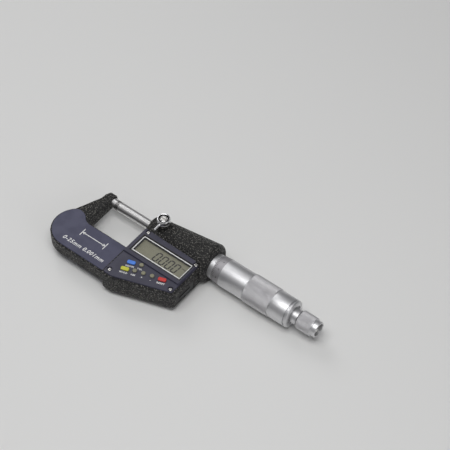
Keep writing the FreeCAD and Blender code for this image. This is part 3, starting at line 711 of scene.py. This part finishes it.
def knurled(name, x0, x1, peak_r, inner_r, columns, rows, depth):
    """Closed band of diamond knurling about the spindle axis, sizes in millimetres."""
    length = x1 - x0
    pitch = length / rows
    piece = fresh(name, bpy.ops.mesh.primitive_cylinder_add, vertices=columns, radius=peak_r * MM,
                  depth=length * MM, end_fill_type="NOTHING", location=((x0 + x1) / 2 * MM, 0, 0),
                  rotation=(0, math.pi / 2, 0))
    places = piece.data.vertices
    lengthwise = 0.5 * MM
    pick(piece, "edges",
         lambda e: abs(places[e.vertices[0]].co.x - places[e.vertices[1]].co.x) > lengthwise)
    bpy.ops.mesh.subdivide(number_cuts=rows - 1)
    to_object()

    def cell(vertex):
        around = math.atan2(vertex.co.z, vertex.co.y) / math.tau * columns
        along = (vertex.co.x / MM - x0) / pitch
        return round(around - 0.25), round(along)

    pick(piece, "vertices", lambda v: sum(cell(v)) % 2 == 1)
    inward = 1 - depth / peak_r
    bpy.ops.transform.resize(value=(1, inward, inward), center_override=(0, 0, 0))
    to_object()
    pick(piece, "polygons", lambda f: True)
    bpy.ops.mesh.quads_convert_to_tris(quad_method="SHORTEST_DIAGONAL")
    to_object()
    for end, outwards in ((0, -END_CHAMFER), (rows, END_CHAMFER)):
        pick(piece, "vertices", lambda v: cell(v)[1] == end)
        bpy.ops.mesh.extrude_region_move(TRANSFORM_OT_translate={"value": (outwards * MM, 0, 0)})
        shrink = inner_r / (peak_r - depth / 2)
        bpy.ops.transform.resize(value=(1, shrink, shrink), center_override=(0, 0, 0))
        to_object()
    pick(piece, "vertices", lambda v: not x0 - 0.05 < v.co.x / MM < x1 + 0.05)
    bpy.ops.mesh.bridge_edge_loops()
    to_object()
    close_up(piece, smooth_angle=12)
    return piece


thimble_knurl = knurled("thimble_knurl", knurl_x0 + END_CHAMFER, knurl_x1 - END_CHAMFER, knurl_r,
                        body_r - 0.2, columns=144, rows=44, depth=0.24)
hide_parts("thimble")
finish_with(thimble_knurl, finishes["knurl"], "spindle_body")
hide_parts("thimble")

knob_low, knob_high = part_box("ratchet_knob")
knob_x0 = knob_low.x / MM
knob_x1 = knob_high.x / MM
knob_r = knob_high.z / MM
knob_knurl_x1 = knob_x1 - 3.5
tail_r = knob_r - 0.9
ratchet_shell = turned("ratchet_shell", [
    (knob_x0, 3.05), (knob_x0, knob_r - 1.15), (knob_x0 + 0.15, knob_r - 0.95),
    (knob_x0 + 0.85, knob_r - 0.3), (knob_knurl_x1, knob_r - 0.3), (knob_knurl_x1 + 0.25, knob_r - 0.35),
    (knob_knurl_x1 + 0.45, tail_r + 0.1), (knob_knurl_x1 + 0.5, tail_r),
    (knob_x1 - 0.4, tail_r), (knob_x1 - 0.12, tail_r - 0.12), (knob_x1, tail_r - 0.4),
    (knob_x1, 4.3), (knob_x1 - 0.15, 4.1), (knob_x1 - 3.0, 4.1), (knob_x1 - 3.0, 3.05),
])
finish_with(ratchet_shell, finishes["chrome"], "ratchet_body")
ratchet_knurl = knurled("ratchet_knurl", knob_x0 + 0.75, knob_knurl_x1 - 0.1, knob_r, knob_r - 0.5,
                        columns=92, rows=25, depth=0.21)
finish_with(ratchet_knurl, finishes["knurl"], "ratchet_body")
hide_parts("ratchet_knob")
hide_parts("ratchet_knob")

# %% [markdown]
# ## Lock knob
# The knob that clamps the spindle has a rounded rim, a groove inside it and a smaller ring round
# its screw. It is turned like the thimble, then its whole mesh is stood upright on the lock's axis.
# The groove's floor gets painted shade: its colour is made near-black where shade falls into it.

# %% Chrome with painted shade on the floor of its groove
def knob_chrome(middle, radius):
    material = metal("knob_chrome", (0.78, 0.78, 0.79, 1), 0.24, 6.0, 0.00005)
    tree = material.node_tree
    split = add_node(tree, "SeparateXYZ", in0=millimetres(tree))
    sides = []
    for axis, centre in (("X", middle.x / MM), ("Y", middle.y / MM)):
        side = maths(tree, "SUBTRACT", split.outputs[axis], centre)
        sides.append(maths(tree, "MULTIPLY", side, side))
    away = maths(tree, "SQRT", maths(tree, "ADD", *sides))
    # Painted shade: the ring between these radii, the groove's floor, is coloured near-black in place of
    # the shade that falls into the groove.
    outer = fade(tree, away, radius - 0.75, radius - 0.95)
    inner = fade(tree, away, radius - 1.75, radius - 1.55)
    groove_shade_mask = maths(tree, "MULTIPLY", outer, inner)
    socket = tree.nodes["Principled BSDF"].inputs["Base Color"]
    bright = socket.links[0].from_socket
    plug(tree, socket, mix_colours(tree, groove_shade_mask, bright, (0.035, 0.034, 0.033, 1)))
    return material


# %% Knob of the spindle lock
lock_low, lock_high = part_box("lock_lever")
lock_middle = (lock_low + lock_high) / 2
lock_r = (lock_high.x - lock_low.x) / 2 / MM
top = lock_high.z / MM
lock_knob = turned("lock_knob", [
    (lock_low.z / MM, 1.0), (lock_low.z / MM, 2.2), (top - 4.9, 2.2), (top - 4.9, 2.9), (top - 4.7, 2.9),
    (top - 4.7, lock_r - 0.6), (top - 4.55, lock_r - 0.2), (top - 4.2, lock_r), (top - 3.1, lock_r),
    (top - 3.0, lock_r - 0.12), (top - 2.8, lock_r - 0.12), (top - 2.7, lock_r), (top - 0.7, lock_r),
    (top - 0.3, lock_r - 0.12), (top - 0.06, lock_r - 0.35), (top, lock_r - 0.6), (top - 0.1, lock_r - 0.8),
    (top - 0.5, lock_r - 0.95), (top - 1.1, lock_r - 1.1), (top - 1.2, lock_r - 1.35),
    (top - 0.8, lock_r - 1.55), (top - 0.42, lock_r - 1.7), (top - 0.35, lock_r - 1.85),
    (top - 0.5, lock_r - 2.0), (top - 1.0, lock_r - 2.15), (top - 1.0, 1.0),
], steps=72)
upright_turn = Matrix.Rotation(-math.pi / 2, 4, "Y")
lock_knob.data.transform(Matrix.Translation((lock_middle.x, lock_middle.y, 0)) @ upright_turn)
finish_with(lock_knob, knob_chrome(lock_middle, lock_r), "lock_body")
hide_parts("lock_lever")
print("lock knob is", round(2 * lock_r, 2), "mm across")

# %% [markdown]
# ## Printing
# All lettering is plain: scale numbers, units and what a button does. A text object is made a mesh,
# then placed. It is extruded by a few hundredths of a millimetre and set half into the surface, so
# it reads as ink and never flickers. Flat ink shapes, such as lines and arrows, are planes that are
# shaped and then extruded.

# %% Helpers for ink
INK = 0.02


def facing(place, turn=0.0):
    """Matrix for ink on a front face: a turn about Z, then a place in millimetres."""
    return Matrix.Translation(Vector(place) * MM) @ Matrix.Rotation(turn, 4, "Z")


def lettering(name, words, size, matrix, lean=0.0, bold=0.0, spread=1.0):
    """Text as a thin mesh, centred on its place. Size is the letter height in millimetres."""
    bpy.ops.object.select_all(action="DESELECT")
    bpy.ops.object.text_add()
    text = bpy.context.object
    text.name = name
    text.data.body = words
    text.data.align_x = "CENTER"
    text.data.align_y = "CENTER"
    text.data.size = size * 1.39 * MM
    text.data.shear = lean
    text.data.offset = bold * MM
    text.data.space_character = spread
    text.data.extrude = INK * MM
    text.data.resolution_u = 3
    bpy.ops.object.convert(target="MESH")
    text.data.transform(matrix)
    return text


def ink_bar(name, length, width, matrix):
    """Thin bar along X, centred on its place."""
    bar = fresh(name, bpy.ops.mesh.primitive_plane_add, size=MM)
    to_edit()
    bpy.ops.mesh.select_all(action="SELECT")
    bpy.ops.transform.resize(value=(length, width, 1), center_override=(0, 0, 0))
    bpy.ops.transform.translate(value=(0, 0, -INK * MM))
    bpy.ops.mesh.extrude_region_move(TRANSFORM_OT_translate={"value": (0, 0, 2 * INK * MM)})
    to_object()
    close_up(bar)
    bar.data.transform(matrix)
    return bar


def ink_frame(name, x_from, x_to, y_from, y_to, z, width, corner):
    """Thin rectangular ring with rounded corners, by its outer edges."""
    ring = fresh(name, bpy.ops.mesh.primitive_plane_add, size=MM)
    to_edit()
    bpy.ops.mesh.select_all(action="SELECT")
    bpy.ops.transform.resize(value=(x_to - x_from, y_to - y_from, 1), center_override=(0, 0, 0))
    bpy.ops.mesh.bevel(offset=corner * MM, segments=5, affect="VERTICES")
    bpy.ops.mesh.select_all(action="SELECT")
    bpy.ops.mesh.inset(thickness=width * MM)
    bpy.ops.mesh.delete(type="FACE")
    bpy.ops.mesh.select_all(action="SELECT")
    bpy.ops.mesh.extrude_region_move(TRANSFORM_OT_translate={"value": (0, 0, 2 * INK * MM)})
    to_object()
    close_up(ring)
    middle = ((x_from + x_to) / 2, (y_from + y_to) / 2, z - INK)
    ring.data.transform(facing(middle))
    return ring


# %% Range and measuring sign on the bow
plate_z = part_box("bow_plate_front")[1].z / MM
range_text = lettering("range_text", "0-25mm 0.001mm", 2.8, facing((7.8, -42.1, plate_z)),
                       lean=0.22, bold=0.075, spread=1.13)
finish_with(range_text, finishes["print_white"], "frame_body")

sign_x = 8.2
sign_y = -32.6
jaw_reach = 9.2
jaw_height = 5.6
tip_reach = 7.9
arrow_length = 15.2
sign_parts = [
    ink_bar("sign_left", 0.55, jaw_height, facing((sign_x - jaw_reach, sign_y, plate_z))),
    ink_bar("sign_right", 0.55, jaw_height, facing((sign_x + jaw_reach, sign_y, plate_z))),
    ink_bar("sign_line", arrow_length, 0.5, facing((sign_x, sign_y, plate_z))),
]
for side in (-1, 1):
    tip = fresh("sign_tip", bpy.ops.mesh.primitive_circle_add, vertices=3, radius=1.25 * MM,
                fill_type="NGON")
    pick(tip, "polygons", lambda f: True)
    bpy.ops.transform.translate(value=(0, 0, -INK * MM))
    bpy.ops.mesh.extrude_region_move(TRANSFORM_OT_translate={"value": (0, 0, 2 * INK * MM)})
    to_object()
    close_up(tip)
    tip.data.transform(facing((sign_x + side * tip_reach, sign_y, plate_z), -side * math.pi / 2))
    sign_parts.append(tip)
measuring_sign = join("measuring_sign", sign_parts)
finish_with(measuring_sign, finishes["print_white"], "frame_body")

# %% Labels under the buttons
slant = math.radians(18.7)
button_stand = 0.75
panel_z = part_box("button_return")[1].z / MM - button_stand
labels = {
    "return": ("IN/MM", 1.25, 2.9),
    "hold": ("HOLD", 1.25, 2.75),
    "reset": ("RESET", 1.3, 2.85),
    "tolerance": ("TOL", 1.15, 3.1),
    "absolute": ("ABS", 1.15, 3.2),
    "plus": ("+", 1.5, 3.2),
    "minus": ("-", 1.5, 3.2),
}
for key, (words, size, drop) in labels.items():
    low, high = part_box("button_" + key)
    middle = (low + high) / 2 / MM
    place = (middle.x + drop * math.sin(slant), middle.y - drop * math.cos(slant), panel_z)
    label = lettering("label_" + key, words, size, facing(place, slant), 0.0, 0.045, 1.12)
    finish_with(label, finishes["print_white"], "frame_body")

# %% [markdown]
# ## The display
# The digits are seven-segment figures that lean a little, under a clear window with a white line
# printed round it. One segment is a circle of six vertices, stretched and extruded. Its copies make a
# figure, and the figures stand side by side.

# %% Digits
glass_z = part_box("lcd_module")[1].z / MM
digit_width = 2.95
digit_height = 6.7
digit_pitch = 4.75
digit_lean = 0.12
stroke = 1.0
segment_gap = 0.28
first_digit = (48.2, -20.0)
SEGMENTS = {
    "top": (0.0, 0.5, 0), "bottom": (0.0, -0.5, 0),
    "upper_left": (-0.5, 0.25, 1), "upper_right": (0.5, 0.25, 1),
    "lower_left": (-0.5, -0.25, 1), "lower_right": (0.5, -0.25, 1),
}

segment = fresh("segment", bpy.ops.mesh.primitive_circle_add, vertices=6, radius=stroke / 2 * MM,
                fill_type="NGON", rotation=(0, 0, math.pi / 2))
pick(segment, "polygons", lambda f: True)
bpy.ops.transform.translate(value=(0, 0, -INK * MM))
bpy.ops.mesh.extrude_region_move(TRANSFORM_OT_translate={"value": (0, 0, 2 * INK * MM)})
to_object()
close_up(segment)
leaning = Matrix.Identity(4)
leaning[0][1] = digit_lean


def segment_copy(middle_x, key):
    """One segment of the figure that stands at middle_x."""
    across, up, upright = SEGMENTS[key]
    length = (digit_height / 2 if upright else digit_width) - segment_gap
    bar = placed_copy(segment, "segment_" + key, Matrix.Identity(4))
    reach = (length - stroke) / 2 * MM
    for vertex in bar.data.vertices:
        vertex.co.x += math.copysign(reach, vertex.co.x)
    turn = Matrix.Rotation(math.pi / 2 * upright, 4, "Z")
    in_digit = Matrix.Translation(Vector((across * digit_width, up * digit_height, 0)) * MM)
    bar.data.transform(facing((middle_x, first_digit[1], glass_z)) @ leaning @ in_digit @ turn)
    return bar


figures = []
for number in range(4):
    figures += [segment_copy(first_digit[0] + number * digit_pitch, key) for key in SEGMENTS]
bpy.data.objects.remove(segment)
point_place = (first_digit[0] + digit_pitch / 2 - 0.35, first_digit[1] - digit_height / 2, glass_z)
figures.append(ink_bar("decimal_point", 0.5, 0.5, facing(point_place)))
reading = join("display_reading", figures)
finish_with(reading, finishes["display_ink"], "frame_body")
unit_place = (first_digit[0] + 3 * digit_pitch + 4.3, first_digit[1] + 2.4, glass_z)
unit_mark = lettering("display_unit", "mm", 1.3, facing(unit_place), 0.15, 0.03)
finish_with(unit_mark, finishes["display_ink"], "frame_body")

# %% Printed border of the window
window_low, window_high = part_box("lcd_window")
wx0 = window_low.x / MM
wx1 = window_high.x / MM
wy0 = window_low.y / MM
wy1 = window_high.y / MM
window_z = window_high.z / MM
white_line = ink_frame("window_line", wx0 + 0.45, wx1 - 0.25, wy0 + 0.45, wy1 - 0.45,
                       window_z + INK, 0.62, 0.25)
finish_with(white_line, finishes["print_white"], "frame_body")
black_edge = ink_frame("window_edge", wx0 + 0.02, wx1 - 0.02, wy0 + 0.02, wy1 - 0.02,
                       window_z + INK, 0.42, 0.35)
finish_with(black_edge, finishes["print_black"], "frame_body")

# %% [markdown]
# ## Graduations
# The thimble's bevel has fifty lines, one for each hundredth of a millimetre, with a number at every
# fifth. The sleeve under it has a long line and the millimetre scale, which come into view as the
# spindle opens. Each line is a thin bar laid on the surface by its own matrix.

# %% Lines on the bevel
lip_r = bore_r + 0.16
bevel_tilt = math.atan2(body_r - lip_r, bevel_x - thimble_x0)


def on_bevel(distance, angle, turn=0.0):
    """Matrix for ink on the bevel: distance from the lip in mm, then an angle round the axis."""
    radius = lip_r + math.sin(bevel_tilt) * distance
    out = Matrix.Translation(Vector((thimble_x0 + distance, 0, radius)) * MM)
    around = Matrix.Rotation(angle, 4, "X")
    return around @ out @ Matrix.Rotation(-bevel_tilt, 4, "Y") @ Matrix.Rotation(turn, 4, "Z")


divisions = 50
line_width = 0.14
lines = []
for number in range(divisions):
    angle = -math.tau * number / divisions
    numbered = number % 5 == 0
    length = 2.6 if numbered else 1.7
    lines.append(ink_bar("bevel_line", length, line_width, on_bevel(length / 2 + 0.15, angle)))
    if numbered:
        place = on_bevel(3.8, angle, -math.pi / 2)
        lines.append(lettering("bevel_number", str(number), 1.0, place, 0, 0.01))
bevel_scale = join("bevel_scale", lines)
finish_with(bevel_scale, finishes["print_black"], "spindle_body")

# %% Lines on the sleeve
sleeve_low, sleeve_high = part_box("outer_sleeve")
sleeve_r = sleeve_high.z / MM
scale_x0 = thimble_x0 - 0.3


def on_sleeve(x, along, turn=0.0):
    """Matrix for ink on the sleeve: a place along X, and a distance round from the top in mm."""
    around = Matrix.Rotation(along / sleeve_r, 4, "X")
    return around @ Matrix.Translation(Vector((x, 0, sleeve_r)) * MM) @ Matrix.Rotation(turn, 4, "Z")


tick_width = 0.12
scale = [ink_bar("datum", 28.0, tick_width, on_sleeve(scale_x0 + 13.0, 0.0))]
for half in range(51):
    tick_x = scale_x0 + half * 0.5
    tick_length = 1.5 if half % 10 == 0 else 1.0
    side = 1 if half % 2 == 0 else -1
    placing = on_sleeve(tick_x, side * tick_length / 2, math.pi / 2)
    scale.append(ink_bar("tick", tick_length, tick_width, placing))
    if half % 10 == 0:
        place = on_sleeve(tick_x, 2.4, -math.pi / 2)
        scale.append(lettering("tick_number", str(half // 2), 1.2, place, 0, 0.02))
sleeve_scale = join("sleeve_scale", scale)
finish_with(sleeve_scale, finishes["print_black"], "frame_body")

# %% Signs on the battery cap
cap_low, cap_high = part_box("battery_cap")
cap_middle = (cap_low + cap_high) / 2 / MM


def facing_back(place, turn=0.0):
    """Matrix for ink on a rear face, so that it reads from behind."""
    flipped = Matrix.Rotation(math.pi, 4, "Y") @ Matrix.Rotation(turn, 4, "Z")
    return Matrix.Translation(Vector(place) * MM) @ flipped


cap_back = cap_low.z / MM + INK
plus_parts = []
for turn in (0.0, math.pi / 2):
    place = facing_back((cap_middle.x, cap_middle.y + 5.2, cap_back), turn)
    plus_parts.append(ink_bar("plus", 2.6, 0.6, place))
battery_sign = join("battery_sign", plus_parts)
finish_with(battery_sign, finishes["print_white"], "battery_cap_body")

# %% The end
print("scene is built")
